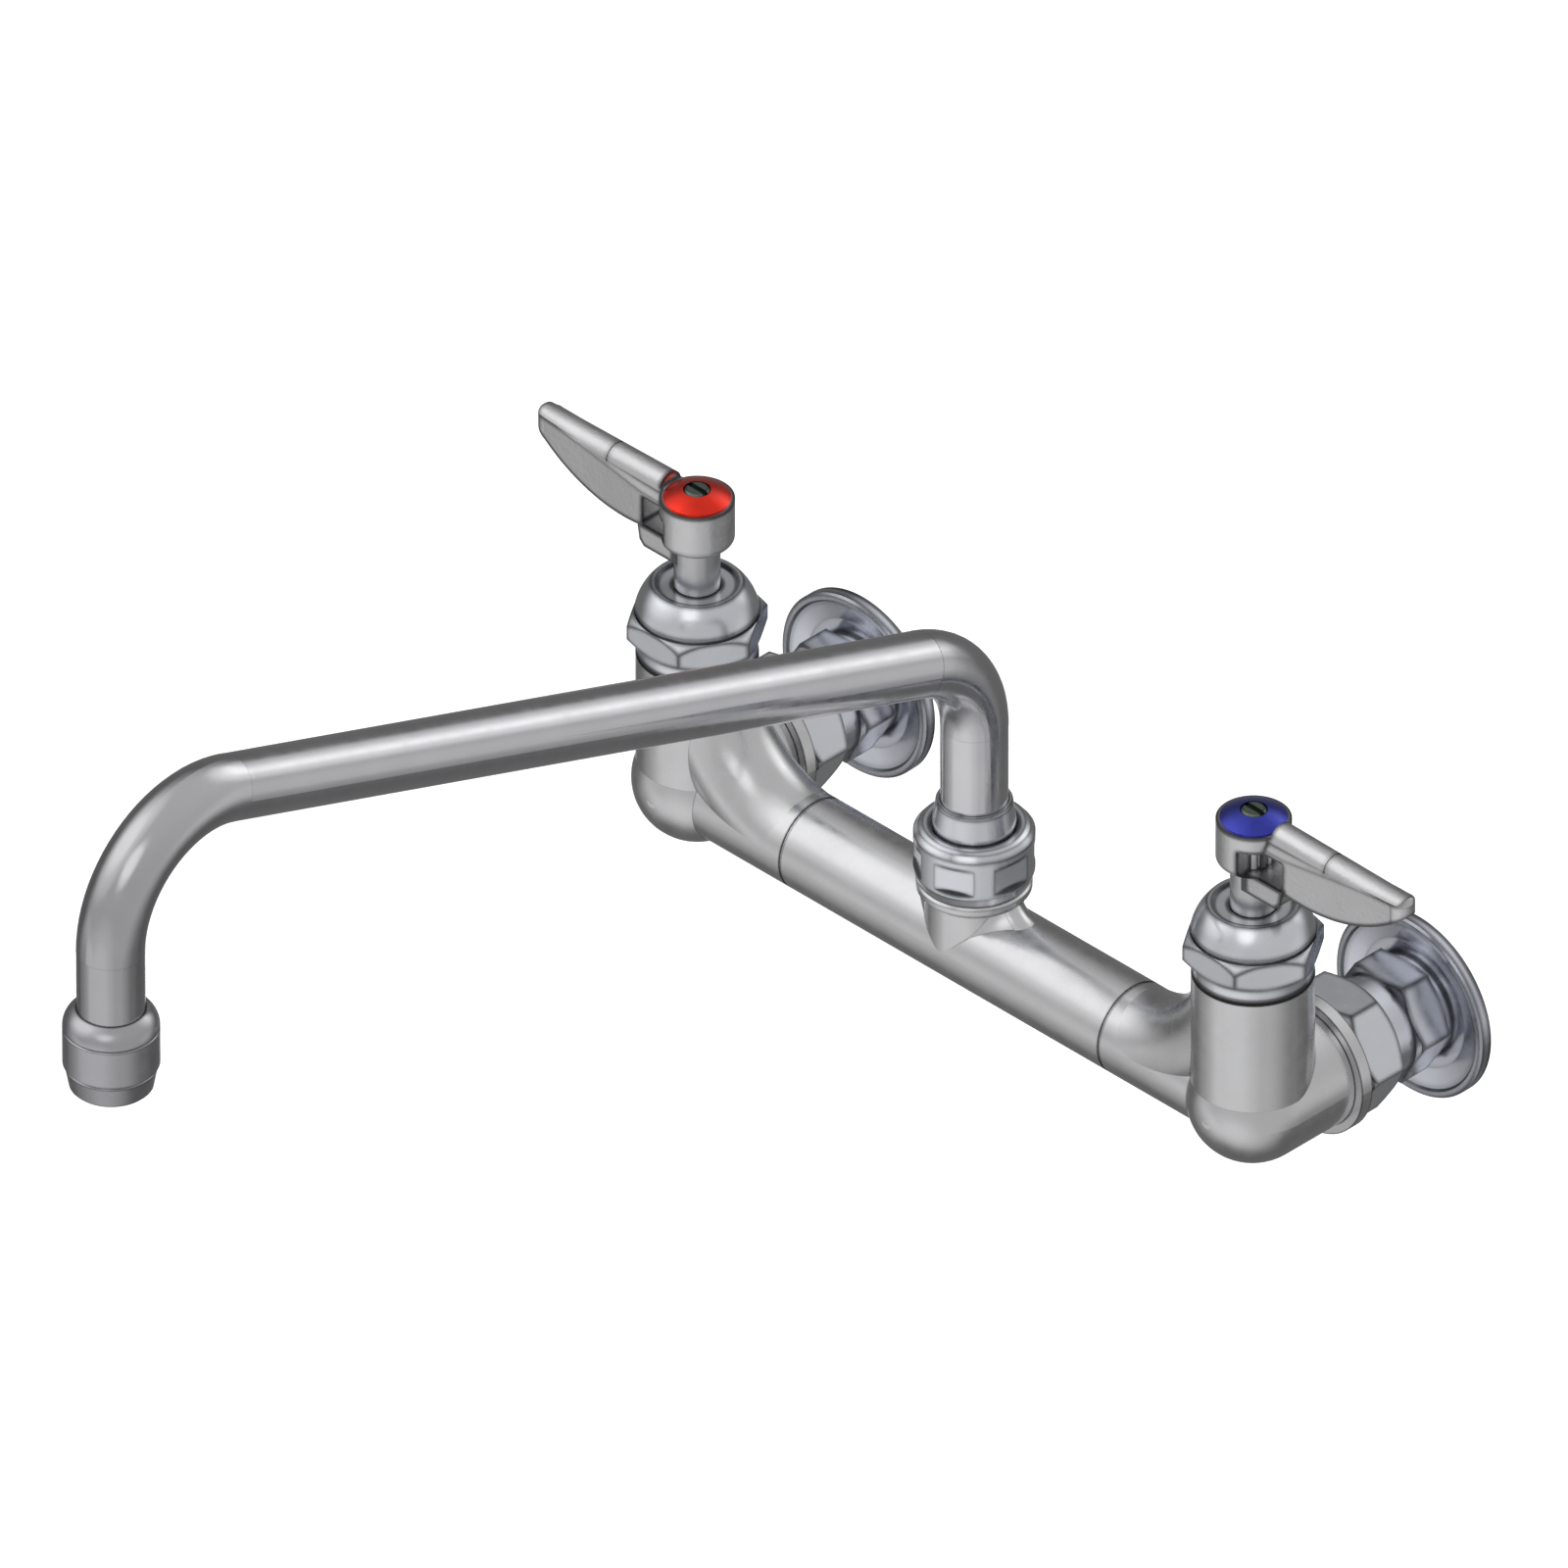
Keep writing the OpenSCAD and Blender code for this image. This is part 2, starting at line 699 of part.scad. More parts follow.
// Lever seen from above: a taper, and a turned tip with a rounded top
module lever_plan() {
    tip_x = lever_reach - lever_tip_r;
    tip_w = lever_tip_r - lever_tip_step;
    tip_z = hub_top_z + tip_rise;
    translate([0, 0, hub_z - hub_h]) linear_extrude(3 * hub_h) polygon([
        [0, -lever_w / 2], [window_end, -lever_w / 2], [tip_x, -tip_w],
        [tip_x, tip_w], [window_end, lever_w / 2], [0, lever_w / 2]
    ]);
    translate([tip_x, 0, 0]) rotate_extrude() {
        translate([0, hub_z - hub_h]) square([lever_tip_r, tip_z - tip_round - hub_z + hub_h]);
        translate([0, hub_z]) square([lever_tip_r - tip_round, tip_z - hub_z]);
        intersection() {
            translate([lever_tip_r - tip_round, tip_z - tip_round]) circle(r = tip_round);
            translate([0, hub_z]) square([lever_tip_r, tip_z - hub_z]);
        }
    }
}

// Lays turned pieces along the axis of the crown, which falls a little towards the tip
module along_crown() {
    translate([0, 0, hub_top_z - crown_drop]) rotate([0, 90 + crown_fall, 0]) children();
}

// Long bar that the lever is cut from: flat sides, sloping shoulders and a round crown
module lever_bar() {
    side = lever_w / 2 + over;
    along_crown() cylinder(r = crown_r, h = lever_reach + over);
    translate([shoulder_x, 0, hub_top_z - shoulder_drop]) rotate([0, -shoulder_rise, 0])
        rotate([90, 0, 90]) linear_extrude(2 * lever_reach, center = true) polygon([
            [-side, -2 * hub_h], [side, -2 * hub_h], [side, -shoulder_h * over / shoulder_w],
            [side - over - shoulder_w, shoulder_h], [shoulder_w + over - side, shoulder_h],
            [-side, -shoulder_h * over / shoulder_w]
        ]);
}

// Fine crease across the crown of the lever
module lever_crease() {
    along_crown() translate([0, 0, crease_x]) intersection() {
        ring(2 * (crown_r + over), 2 * (crown_r - crease_depth), -crease_w / 2, crease_w / 2);
        translate([-2 * crown_r, -crown_r, -crease_w]) cube([2 * crown_r, 2 * crown_r, 2 * crease_w]);
    }
}

// Lug that ties the hub to the foot of the lever, under the window
module lever_lug() {
    rotate([90, 0, 0]) linear_extrude(lug_w, center = true) polygon([
        [0, hub_z - lug_drop], [lug_nose - lug_bevel, hub_z - lug_drop],
        [lug_nose, hub_z - lug_drop + lug_bevel], [window_end + edge, hub_z],
        [window_end + edge, hub_z + window_floor], [0, hub_z + window_floor]
    ]);
}

module lever_handle(side) {
    color(chrome_tone) at_handle(side) difference() {
        union() {
            rotate_extrude() {
                square_r = hub_d / 2 - hub_round;
                translate([0, hub_z]) square([square_r, hub_h]);
                translate([0, hub_z + hub_round]) square([hub_d / 2, hub_h - hub_round]);
                intersection() {
                    translate([square_r, hub_z + hub_round]) circle(r = hub_round);
                    translate([0, hub_z]) square([hub_d / 2, hub_h]);
                }
            }
            intersection() {
                rotate([90, 0, 0]) linear_extrude(lever_w, center = true) lever_outline();
                lever_plan();
                lever_bar();
            }
            lever_lug();
        }
        lever_crease();
        translate([window_start, -hub_d, hub_z + window_floor])
            cube([window_end - window_start, 2 * hub_d, window_h]);
        turned(stem_d + 2 * thread_gap, hub_z - lug_drop - over, hub_z);
        turned(spline_d + 2 * thread_gap, hub_z - over, hub_z + spline_h + over);
        turned(screw_shank_d + 2 * thread_gap, hub_z, hub_top_z + over);
    }
}

// Domed ring that shows hot or cold, around the handle screw
module index_ring(side, tone) {
    bore_r = screw_head_d / 2 + pass_gap;
    outer_r = index_d / 2;
    drop = index_h - index_rim_h;
    reach = (outer_r * outer_r - bore_r * bore_r) / drop;
    dome_centre = (reach + drop) / 2;
    color(tone) at_valve(side) rotate_extrude() intersection() {
        translate([0, hub_top_z + index_h - dome_centre])
            circle(r = sqrt(bore_r * bore_r + dome_centre * dome_centre), $fn = 2 * $fn);
        translate([bore_r, hub_top_z]) square([outer_r - bore_r, 2 * index_h]);
    }
}

module handle_screw(side) {
    color(screw_tone) at_handle(side) difference() {
        union() {
            turned(screw_shank_d - 2 * thread_gap, hub_top_z - screw_l, hub_top_z);
            translate([0, 0, hub_top_z]) cylinder(d = screw_head_d, h = screw_head_h - edge);
            translate([0, 0, hub_top_z + screw_head_h - edge])
                cylinder(d1 = screw_head_d, d2 = screw_head_d - 2 * edge, h = edge);
        }
        translate([-screw_head_d, -screw_slot_w / 2, hub_top_z + screw_head_h - screw_slot_depth])
            cube([2 * screw_head_d, screw_slot_w, screw_slot_depth + over]);
    }
}

// Nut that holds the sleeve of the spout on the swivel boss: round, with six milled flats
module swivel_nut() {
    body_r = nut_body_d / 2;
    crown_r = nut_crown_d / 2;
    lip_d = sleeve_base_d + 2 * pass_gap;
    color(chrome_tone) at_swivel() rotate([0, 0, nut_turn]) difference() {
        rotate_extrude() polygon([
            [0, swivel_boss_z], [body_r - 2 * edge, swivel_boss_z],
            [body_r, swivel_boss_z + nut_foot_h], [body_r, nut_top_z - nut_shoulder_h],
            [crown_r + 2 * edge, nut_top_z - edge], [crown_r, nut_top_z], [0, nut_top_z]
        ]);
        for (i = [0 : 5]) rotate([0, 0, i * 60 + 30])
            translate([swivel_af / 2, -swivel_af / 2, nut_flat_z])
                cube([nut_body_d, swivel_af, nut_flat_h]);
        turned(swivel_thread_d + 2 * thread_gap, swivel_boss_z - over, nut_lip_z);
        turned(lip_d, swivel_boss_z, nut_top_z);
        translate([0, 0, nut_lip_z + edge])
            cylinder(d1 = lip_d, d2 = nut_opening_d, h = nut_top_z - nut_lip_z - edge);
        turned(nut_opening_d, nut_top_z - edge, nut_top_z + over);
    }
}

module swivel_washer() {
    color(polymer_tone) at_swivel()
        ring(sleeve_shoulder_d, swivel_bore_d + 2 * pass_gap,
            swivel_neck_z, swivel_neck_z + swivel_washer_t);
}

// Sleeve brazed on the riser: its foot turns in the boss and its shoulder is held by the nut
module swivel_sleeve() {
    color(chrome_tone) at_swivel() difference() {
        union() {
            turned(sleeve_foot_d, sleeve_foot_z, nut_lip_z - run_gap);
            turned(sleeve_shoulder_d, sleeve_shoulder_z, nut_lip_z - run_gap);
            turned(sleeve_base_d, sleeve_shoulder_z, sleeve_cone_z);
            translate([0, 0, sleeve_cone_z])
                cylinder(d1 = sleeve_base_d, d2 = sleeve_d, h = sleeve_top_z - edge - sleeve_cone_z);
            translate([0, 0, sleeve_top_z - edge])
                cylinder(d1 = sleeve_d, d2 = sleeve_d - edge, h = edge);
        }
        turned(sleeve_bore_d, sleeve_foot_z - over, sleeve_top_z);
        turned(spout_d + 2 * thread_gap, sleeve_socket_z, sleeve_top_z + over);
        for (z = swivel_ring_z)
            ring(sleeve_foot_d + over, sleeve_foot_d - run_gap - 2 * ring_section_d,
                z - ring_groove_w / 2, z + ring_groove_w / 2);
    }
}

module swivel_o_rings() {
    color(rubber_tone) at_swivel() for (z = swivel_ring_z)
        o_ring(sleeve_foot_d - run_gap, ring_section_d, z);
}

// Solid rod along the spout path; both ends run on by an extra length
module spout_rod(d, extra) {
    bend_d = d + bend_step;
    at_swivel() turned(d, sleeve_socket_z - extra, riser_top_z + bend_lap);
    in_arm_plane() {
        translate([spout_rear_r, riser_top_z, 0]) rotate([0, 0, 90 + spout_rise])
            rotate_extrude(angle = 90 - spout_rise) translate([spout_rear_r, 0]) circle(d = bend_d);
        translate([0, spout_corner_z, 0]) rotate([0, 0, spout_rise]) rotate([0, 90, 0])
            turned(d, arm_start - bend_lap, arm_end + bend_lap);
        translate([spout_reach - spout_front_r, drop_top_z, 0])
            rotate_extrude(angle = 90 + spout_rise) translate([spout_front_r, 0]) circle(d = bend_d);
    }
    at_outlet() turned(d, tube_end_z - extra, drop_top_z + bend_lap);
}

module spout_tube() {
    color(chrome_tone) difference() {
        spout_rod(spout_d, 0);
        spout_rod(spout_d - 2 * spout_wall, over);
    }
}

// Adapter brazed on the spout end: rounded crown and a male thread for the aerator
module outlet_adapter() {
    crown_x = aerator_d / 2 - adapter_crown_r;
    color(chrome_tone) at_outlet() difference() {
        union() {
            rotate_extrude() intersection() {
                union() {
                    translate([crown_x, adapter_seat_z]) circle(r = adapter_crown_r);
                    translate([0, adapter_seat_z]) square([crown_x, adapter_crown_r]);
                }
                translate([0, adapter_seat_z]) square([aerator_d / 2, adapter_crown_h]);
            }
            turned(adapter_thread_d, adapter_end_z, adapter_seat_z + edge);
        }
        turned(adapter_bore_d, adapter_end_z - over, adapter_top_z);
        turned(spout_d + 2 * thread_gap, tube_end_z, adapter_top_z + over);
    }
}

// Aerator housing screwed on the adapter
module aerator_housing() {
    r = aerator_d / 2;
    color(chrome_tone) at_outlet() difference() {
        rotate_extrude() polygon([
            [0, cap_seat_z], [r - edge, cap_seat_z], [r, cap_seat_z + edge],
            [r, adapter_seat_z - edge], [r - edge, adapter_seat_z], [0, adapter_seat_z]
        ]);
        turned(adapter_thread_d + 2 * thread_gap, cap_seat_z - over, adapter_seat_z + over);
    }
}

module aerator_washer() {
    color(rubber_tone) at_outlet()
        ring(aerator_washer_d, adapter_bore_d, screens_top_z, adapter_end_z);
}

// Rows of through holes on a round grid: one in the middle and rings of six, twelve and so on
module hole_rings(d, pitch, rings, z0, z1) {
    turned(d, z0, z1);
    for (k = [1 : rings]) for (i = [0 : 6 * k - 1]) rotate([0, 0, i * 60 / k])
        translate([k * pitch, 0, 0]) turned(d, z0, z1);
}

// Two perforated screens in one rim
module aerator_screens() {
    inner_d = screens_d - 2 * screen_rim_w;
    color(chrome_tone) at_outlet() difference() {
        turned(screens_d, screens_z, screens_top_z);
        turned(inner_d, screens_z + screen_t, screens_top_z - screen_t);
        hole_rings(screen_hole_d, hole_pitch, 2, screens_z - over, screens_top_z + over);
    }
}

// Polymer insert that mixes air into the stream
module aerator_insert() {
    color(polymer_tone) at_outlet() difference() {
        turned(insert_d, outlet_z + cap_floor_t, screens_z);
        hole_rings(insert_hole_d, hole_pitch, 2, outlet_z, screens_z + over);
    }
}

// Cap screwed into the housing from below, with the outlet mouth
module aerator_cap() {
    r = aerator_d / 2;
    color(chrome_tone) at_outlet() difference() {
        union() {
            rotate_extrude() polygon([
                [0, outlet_z], [r - cap_taper - edge, outlet_z], [r - cap_taper, outlet_z + edge],
                [r - edge, cap_seat_z - edge], [r - 2 * edge, cap_seat_z], [0, cap_seat_z]
            ]);
            turned(cap_thread_d, cap_seat_z - edge, screens_z);
        }
        turned(insert_d + 2 * thread_gap, outlet_z + cap_floor_t, screens_z + over);
        turned(cap_mouth_d, outlet_z - over, screens_z);
    }
}

body_casting();
inlet_flange(HOT);  // hot_inlet_flange
coupling_nut(HOT);  // hot_coupling_nut
coupling_washer(HOT);  // hot_coupling_washer
coupling_spud(HOT);  // hot_coupling_spud
inlet_flange(COLD);  // cold_inlet_flange
coupling_nut(COLD);  // cold_coupling_nut
coupling_washer(COLD);  // cold_coupling_washer
coupling_spud(COLD);  // cold_coupling_spud
seat_gasket(HOT);  // hot_seat_gasket
fixed_disc(HOT);  // hot_fixed_disc
cartridge_housing(HOT);  // hot_cartridge_housing
bonnet_gasket(HOT);  // hot_bonnet_gasket
bonnet(HOT);  // hot_bonnet
moving_disc(HOT);  // hot_moving_disc
stem(HOT);  // hot_stem
stem_o_rings(HOT);  // hot_stem_o_rings
lever_handle(HOT);  // hot_lever_handle
index_ring(HOT, red_tone);  // hot_index_ring
handle_screw(HOT);  // hot_handle_screw
seat_gasket(COLD);  // cold_seat_gasket
fixed_disc(COLD);  // cold_fixed_disc
cartridge_housing(COLD);  // cold_cartridge_housing
bonnet_gasket(COLD);  // cold_bonnet_gasket
bonnet(COLD);  // cold_bonnet
moving_disc(COLD);  // cold_moving_disc
stem(COLD);  // cold_stem
stem_o_rings(COLD);  // cold_stem_o_rings
lever_handle(COLD);  // cold_lever_handle
index_ring(COLD, blue_tone);  // cold_index_ring
handle_screw(COLD);  // cold_handle_screw
swivel_nut();
swivel_washer();
swivel_sleeve();
swivel_o_rings();
spout_tube();
outlet_adapter();
aerator_housing();
aerator_washer();
aerator_screens();
aerator_insert();
aerator_cap();
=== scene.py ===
import json
import math

import bmesh
import bpy
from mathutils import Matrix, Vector

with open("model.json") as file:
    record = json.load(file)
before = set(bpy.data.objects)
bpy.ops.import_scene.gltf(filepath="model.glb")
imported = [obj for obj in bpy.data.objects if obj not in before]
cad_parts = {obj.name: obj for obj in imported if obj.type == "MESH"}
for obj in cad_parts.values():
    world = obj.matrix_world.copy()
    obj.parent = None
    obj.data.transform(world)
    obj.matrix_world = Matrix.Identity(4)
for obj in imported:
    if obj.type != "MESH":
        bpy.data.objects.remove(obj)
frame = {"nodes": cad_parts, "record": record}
NODES = frame["nodes"]


def write_sizes():
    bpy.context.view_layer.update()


write_sizes()

# Camera: the isometric direction of the photo. The lens is long, for nearly parallel outlines,
# but short enough that the other views' clip range still reaches the part from their camera.
FRAME_PX = 1600
PX_PER_M = 3956.5
AZIMUTH = math.radians(45)
ELEVATION = math.asin(math.tan(math.radians(30)))
LENS_MM = 680
SENSOR_MM = 15
CLIP_NEAR = 1
CLIP_FAR = 100
# The frame's middle, in metres from the origin: to the right, up, and towards the camera, where
# the plane lies that is drawn to scale
AIM_RIGHT = -0.09242
AIM_UP = 0.01441
PIVOT_DEPTH = 0.14

BACK = Vector((math.sin(AZIMUTH) * math.cos(ELEVATION),
               -math.cos(AZIMUTH) * math.cos(ELEVATION),
               math.sin(ELEVATION)))
RIGHT = Vector((math.cos(AZIMUTH), math.sin(AZIMUTH), 0))
UP = BACK.cross(RIGHT)
cam_data = bpy.data.cameras.new("camera")
cam_data.lens = LENS_MM
cam_data.sensor_width = SENSOR_MM
cam_data.clip_start = CLIP_NEAR
cam_data.clip_end = CLIP_FAR
camera = bpy.data.objects.new("camera", cam_data)
bpy.context.scene.collection.objects.link(camera)
distance = FRAME_PX / PX_PER_M * LENS_MM / SENSOR_MM
camera.location = RIGHT * AIM_RIGHT + UP * AIM_UP + BACK * (PIVOT_DEPTH + distance)
camera.rotation_mode = "QUATERNION"
camera.rotation_quaternion = (-BACK).to_track_quat("-Z", "Y")
bpy.context.scene.camera = camera
bpy.context.scene.view_settings.view_transform = "Standard"

WHITE = (1, 1, 1, 1)
GLOSS_SHARE = 0.15  # part of the white background that gloss sees
NOISE_BAND = (0.3, 0.7)  # most values of a noise texture lie between these
CLOUD_DETAIL = 4
GRAIN_DETAIL = 3
GRAIN_DEPTH = 0.0002
EDGE_SAMPLES = 8

METAL_CLOUD_SCALE = 60
METAL_CLOUD = 0.06
METAL_WEAR_SCALE = 240
METAL_WEAR_DETAIL = 6
METAL_WEAR = (-0.04, 0.06)
METAL_GRAIN_SCALE = 900
# Painted shade along crisp edges and in creases: (what off_edge gives, brightness), for curved
# pieces and for pieces with flat faces
CURVED_EDGE_SHADE_STOPS = ((0.86, 0.2), (0.96, 0.55), (0.99, 1.0))
FLAT_EDGE_SHADE_STOPS = ((0.93, 0.2), (0.985, 0.5), (0.9992, 1.0))

PLAIN_CLOUD_SCALE = 300
PLAIN_GRAIN_SCALE = 1500
COAT_WEIGHT = 0.5
COAT_ROUGHNESS = 0.1


# Small helpers for node trees
def tree_of(name):
    m = bpy.data.materials.new(name)
    m.use_nodes = True
    nt = m.node_tree
    nt.nodes.clear()
    out = nt.nodes.new("ShaderNodeOutputMaterial")
    bsdf = nt.nodes.new("ShaderNodeBsdfPrincipled")
    nt.links.new(bsdf.outputs[0], out.inputs[0])
    return m, nt, bsdf


def ramp(nt, source, stops, interpolation="LINEAR"):
    r = nt.nodes.new("ShaderNodeValToRGB")
    r.color_ramp.interpolation = interpolation
    els = r.color_ramp.elements
    while len(els) < len(stops):
        els.new(0.5)
    for e, (pos, col) in zip(els, stops):
        e.position = pos
        e.color = (*col, 1) if isinstance(col, tuple) else (col, col, col, 1)
    nt.links.new(source, r.inputs[0])
    return r.outputs[0]


def noise(nt, scale, detail):
    tc = nt.nodes.new("ShaderNodeTexCoord")
    n = nt.nodes.new("ShaderNodeTexNoise")
    n.inputs["Scale"].default_value = scale
    n.inputs["Detail"].default_value = detail
    nt.links.new(tc.outputs["Object"], n.inputs["Vector"])
    return n.outputs[0]


def clouds(nt, scale, low, high):
    return ramp(nt, noise(nt, scale, CLOUD_DETAIL), tuple(zip(NOISE_BAND, (low, high))))


def map_range(nt, source, limits):
    n = nt.nodes.new("ShaderNodeMapRange")
    for key, v in zip(("From Min", "From Max", "To Min", "To Max"), limits):
        n.inputs[key].default_value = v
    nt.links.new(source, n.inputs["Value"])
    return n.outputs[0]


def math_node(nt, op, *values):
    n = nt.nodes.new("ShaderNodeMath")
    n.operation = op
    for socket, v in zip(n.inputs, values):
        if isinstance(v, (int, float)):
            socket.default_value = v
        else:
            nt.links.new(v, socket)
    return n.outputs[0]


def blend_colours(nt, a, b, blend):
    n = nt.nodes.new("ShaderNodeMix")
    n.data_type = "RGBA"
    n.blend_type = blend
    sockets = {s.name: s for s in n.inputs if s.enabled}
    sockets["Factor"].default_value = 1.0
    nt.links.new(a, sockets["A"])
    nt.links.new(b, sockets["B"])
    return [o for o in n.outputs if o.enabled][0]


# Cosine between a face and the same face with its edges rounded: 1 away from every crisp edge
# and crease, less within the radius of one
def off_edge(nt, radius):
    bevel = nt.nodes.new("ShaderNodeBevel")
    bevel.samples = EDGE_SAMPLES
    bevel.inputs["Radius"].default_value = radius
    geo = nt.nodes.new("ShaderNodeNewGeometry")
    dot = nt.nodes.new("ShaderNodeVectorMath")
    dot.operation = "DOT_PRODUCT"
    nt.links.new(bevel.outputs[0], dot.inputs[0])
    nt.links.new(geo.outputs["Normal"], dot.inputs[1])
    return dot.outputs["Value"]


def add_grain(nt, bsdf, strength, scale):
    bump = nt.nodes.new("ShaderNodeBump")
    bump.inputs["Strength"].default_value = strength
    bump.inputs["Distance"].default_value = GRAIN_DEPTH
    nt.links.new(noise(nt, scale, GRAIN_DETAIL), bump.inputs["Height"])
    nt.links.new(bump.outputs[0], bsdf.inputs["Normal"])


# How much of the white background a ray sees: all of it from the camera, a share from gloss
def white_share(nt):
    path = nt.nodes.new("ShaderNodeLightPath")
    gloss = math_node(nt, "MAXIMUM", path.outputs["Is Glossy Ray"],
                      path.outputs["Is Transmission Ray"])
    return math_node(nt, "MAXIMUM", math_node(nt, "MULTIPLY", gloss, GLOSS_SHARE),
                     path.outputs["Is Camera Ray"])


# Plated metal: faint clouding, fine wear in the roughness, a shallow grain, and painted shade
# along crisp edges and in creases. A fade, painted shade along y, is (y, y, brightness,
# brightness) in the piece's own frame.
def plated(name, tone, rough, grain=0.02, shade_fade=None, edge=0.0009, stops=CURVED_EDGE_SHADE_STOPS):
    m, nt, bsdf = tree_of(name)
    col = clouds(nt, METAL_CLOUD_SCALE, tuple(c * (1 - METAL_CLOUD) for c in tone), tone)
    # Painted shade: the colour darkens along crisp edges and in creases
    col = blend_colours(nt, col, ramp(nt, off_edge(nt, edge), stops), "MULTIPLY")
    # Painted shade: the colour darkens towards low y, down to the fade's lower brightness
    if shade_fade:
        sep = nt.nodes.new("ShaderNodeSeparateXYZ")
        tc = nt.nodes.new("ShaderNodeTexCoord")
        nt.links.new(tc.outputs["Object"], sep.inputs[0])
        shade_dim = ramp(nt, map_range(nt, sep.outputs[1], shade_fade), ((0.0, 0.0), (1.0, 1.0)))
        col = blend_colours(nt, col, shade_dim, "MULTIPLY")
    nt.links.new(col, bsdf.inputs["Base Color"])
    bsdf.inputs["Metallic"].default_value = 1
    wear = noise(nt, METAL_WEAR_SCALE, METAL_WEAR_DETAIL)
    limits = (*NOISE_BAND, rough + METAL_WEAR[0], rough + METAL_WEAR[1])
    nt.links.new(map_range(nt, wear, limits), bsdf.inputs["Roughness"])
    add_grain(nt, bsdf, grain, METAL_GRAIN_SCALE)
    return m


# Other materials, with clouding and a fine surface; metal is for the lacquered index rings
def plain(name, tone, rough, grain=0.1, dark=0.8, metal=0.0):
    m, nt, bsdf = tree_of(name)
    col = clouds(nt, PLAIN_CLOUD_SCALE, tuple(c * dark for c in tone), tone)
    nt.links.new(col, bsdf.inputs["Base Color"])
    bsdf.inputs["Metallic"].default_value = metal
    bsdf.inputs["Roughness"].default_value = rough
    bsdf.inputs["Coat Weight"].default_value = COAT_WEIGHT * metal
    bsdf.inputs["Coat Roughness"].default_value = COAT_ROUGHNESS
    add_grain(nt, bsdf, grain, PLAIN_GRAIN_SCALE)
    return m


MATS = {
    "body_chrome": plated("body_chrome", (0.62, 0.62, 0.63), rough=0.24),
    "fitting_chrome": plated("fitting_chrome", (0.70, 0.72, 0.76), rough=0.22, edge=0.0022,
                             stops=FLAT_EDGE_SHADE_STOPS),
    "flange_chrome": plated("flange_chrome", (0.64, 0.66, 0.72), rough=0.22, edge=0.0030,
                            stops=FLAT_EDGE_SHADE_STOPS),
    "handle_chrome": plated("handle_chrome", (0.62, 0.62, 0.63), rough=0.3, grain=0.35,
                            edge=0.0022, stops=FLAT_EDGE_SHADE_STOPS),
    # Painted shade: the spout darkens towards its outlet end
    "spout_chrome": plated("spout_chrome", (0.64, 0.64, 0.66), rough=0.16,
                           shade_fade=(-0.39, -0.32, 0.68, 1.0)),
    "stem_metal": plated("stem_metal", (0.5, 0.5, 0.51), rough=0.3),
    "screw_metal": plated("screw_metal", (0.14, 0.17, 0.15), rough=0.35),
    "brass": plated("brass", (0.70, 0.52, 0.25), rough=0.3),
    "fibre": plain("fibre", (0.035, 0.032, 0.03), 0.7),
    "rubber": plain("rubber", (0.02, 0.02, 0.02), 0.6),
    "ceramic": plain("ceramic", (0.85, 0.84, 0.8), 0.2, 0.02, dark=0.95),
    "polymer": plain("polymer", (0.75, 0.75, 0.72), 0.4, 0.05, dark=0.95),
    "index_red": plain("index_red", (0.86, 0.022, 0.004), 0.3, 0.02, dark=0.85, metal=1.0),
    "index_blue": plain("index_blue", (0.035, 0.045, 0.42), 0.3, 0.02, dark=0.85, metal=1.0),
}
# The outlet pieces get a darker copy of the metal of the slot that they share with other
# pieces: painted shade on the outlet end
OUTLET_NODES = ("outlet_adapter", "aerator_housing", "aerator_cap")
OUTLET_SHADED_CHROME = plated("outlet_shaded_chrome", (0.44, 0.44, 0.46), rough=0.24)
slots = {s["node"]: s["material_slot"] for s in frame["record"]["subparts"]}
for name, obj in NODES.items():
    mat = OUTLET_SHADED_CHROME if name in OUTLET_NODES else MATS[slots[name]]
    if not obj.data.materials:
        obj.data.materials.append(mat)
    for i in range(len(obj.data.materials)):
        obj.data.materials[i] = mat

# Floor: a pale disc where a floor would be under a wall faucet, wider than the camera sees.
# A glow that only the camera and, weakly, gloss see lifts it to white.
FLOOR_DROP = 1.1
FLOOR_RADIUS = 0.5
FLOOR_SEGMENTS = 96
FLOOR_ROUGHNESS = 0.9
FLOOR_CLOUD_SCALE = 40
FLOOR_CLOUD_DETAIL = 3
FLOOR_TONES = (0.78, 0.82)
FLOOR_GLOW = 0.6

bm = bmesh.new()
bmesh.ops.create_circle(bm, cap_ends=True, segments=FLOOR_SEGMENTS, radius=FLOOR_RADIUS)
floor_mesh = bpy.data.meshes.new("floor")
bm.to_mesh(floor_mesh)
bm.free()
floor = bpy.data.objects.new("floor", floor_mesh)
bpy.context.scene.collection.objects.link(floor)
middle = camera.location - BACK * distance
floor.location = middle - BACK * ((middle.z + FLOOR_DROP) / BACK.z)
floor_mat, ft, floor_bsdf = tree_of("floor_paint")
floor_bsdf.inputs["Roughness"].default_value = FLOOR_ROUGHNESS
floor_tone = ramp(ft, noise(ft, FLOOR_CLOUD_SCALE, FLOOR_CLOUD_DETAIL),
                  tuple(zip(NOISE_BAND, FLOOR_TONES)))
ft.links.new(floor_tone, floor_bsdf.inputs["Base Color"])
glow = math_node(ft, "MULTIPLY", white_share(ft), FLOOR_GLOW)
ft.links.new(glow, floor_bsdf.inputs["Emission Strength"])
floor_bsdf.inputs["Emission Color"].default_value = WHITE
floor_mesh.materials.append(floor_mat)

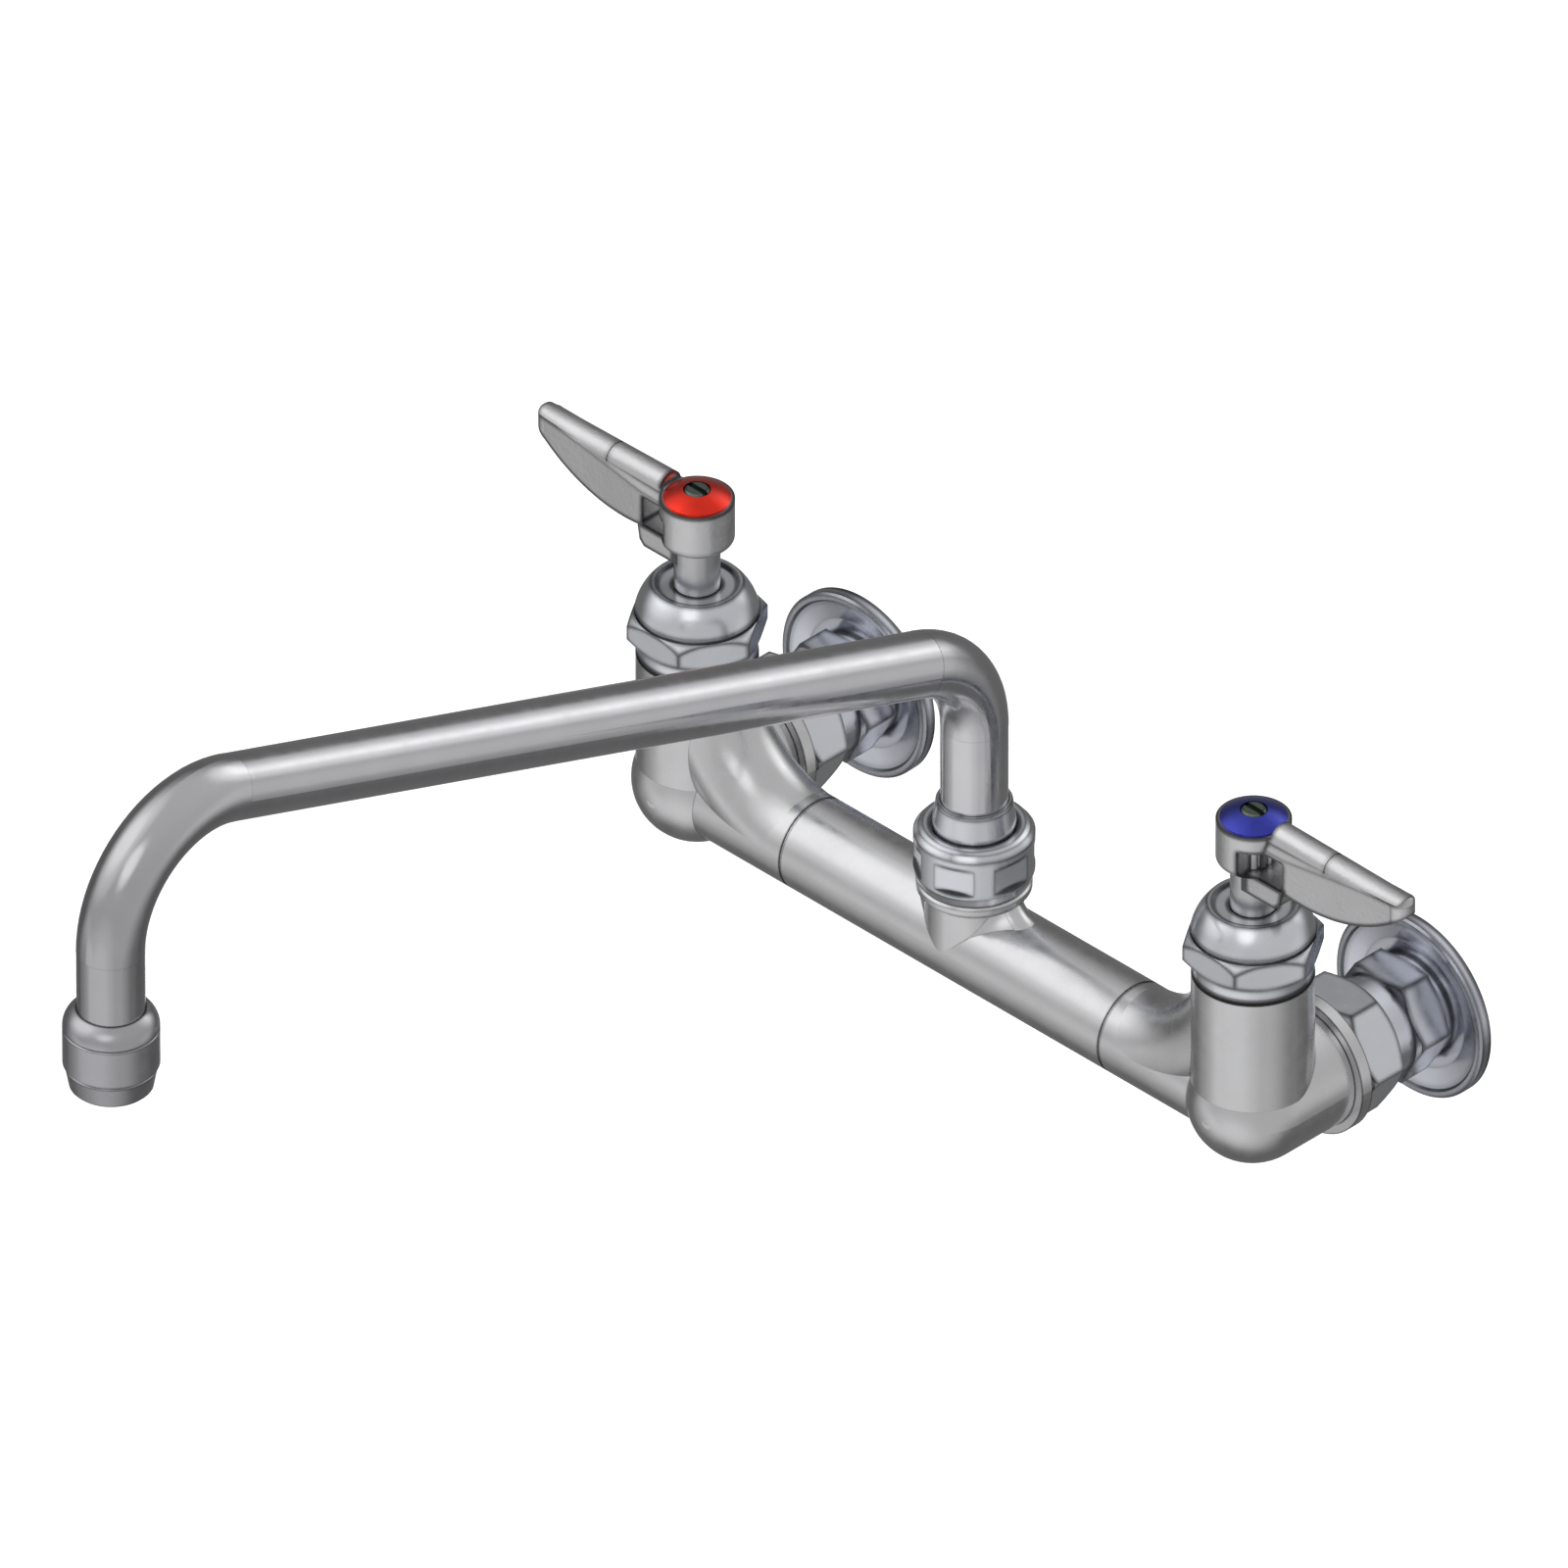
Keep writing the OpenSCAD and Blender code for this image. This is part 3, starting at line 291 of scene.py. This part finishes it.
# World: white to the camera, a studio of soft lights and dark flags to everything else, and to
# gloss that studio with a share of the white. Each patch of it is a direction and its stops,
# which are (cosine from that direction, value).
SKY = ((0, 0, 1), ((-1.0, 0.50), (-0.5, 0.58), (0.0, 0.56), (1.0, 0.62)))
LIGHTS = (
    ((-0.58, -0.47, 0.67), ((0.70, 0.0), (0.87, 0.35), (0.97, 0.85))),
    ((0.0, 0.92, 0.40), ((0.82, 0.0), (0.92, 0.55), (0.985, 1.45))),
    ((0.70, 0.68, -0.22), ((0.90, 0.0), (0.99, 0.12))),
    ((0.15, -0.80, -0.58), ((0.75, 0.0), (0.90, 0.15), (0.98, 0.30))),
    ((0.37, -0.69, 0.63), ((0.93, 0.0), (0.99, 0.9))),
)
FLAGS = (
    ((0.55, 0.35, -0.76),
     ((0.82, 1.0), (0.90, 0.74), (0.94, 0.55), (0.965, 0.32), (0.985, 0.10))),
    (-BACK, ((-0.05, 1.0), (0.15, 0.85), (0.35, 0.35), (0.52, 0.04))),
)
FILLS = (
    ((-0.60, -0.60, -0.53), ((0.86, 0.0), (0.97, 0.24))),
)

world = bpy.data.worlds.new("world")
bpy.context.scene.world = world
world.use_nodes = True
wt = world.node_tree
wt.nodes.clear()
w_out = wt.nodes.new("ShaderNodeOutputWorld")
w_coords = wt.nodes.new("ShaderNodeTexCoord")


def patch(direction, stops):
    dot = wt.nodes.new("ShaderNodeVectorMath")
    dot.operation = "DOT_PRODUCT"
    wt.links.new(w_coords.outputs["Generated"], dot.inputs[0])
    dot.inputs[1].default_value = Vector(direction).normalized()
    unit = math_node(wt, "MULTIPLY_ADD", dot.outputs["Value"], 0.5, 0.5)
    return ramp(wt, unit, [(c * 0.5 + 0.5, v) for c, v in stops], "EASE")


tone = patch(*SKY)
for patches, blend in ((LIGHTS, "ADD"), (FLAGS, "MULTIPLY"), (FILLS, "ADD")):
    for direction, stops in patches:
        tone = blend_colours(wt, tone, patch(direction, stops), blend)
bg_studio = wt.nodes.new("ShaderNodeBackground")
wt.links.new(tone, bg_studio.inputs[0])
bg_white = wt.nodes.new("ShaderNodeBackground")
bg_white.inputs[0].default_value = WHITE
mixer = wt.nodes.new("ShaderNodeMixShader")
wt.links.new(white_share(wt), mixer.inputs[0])
wt.links.new(bg_studio.outputs[0], mixer.inputs[1])
wt.links.new(bg_white.outputs[0], mixer.inputs[2])
wt.links.new(mixer.outputs[0], w_out.inputs[0])

write_sizes()
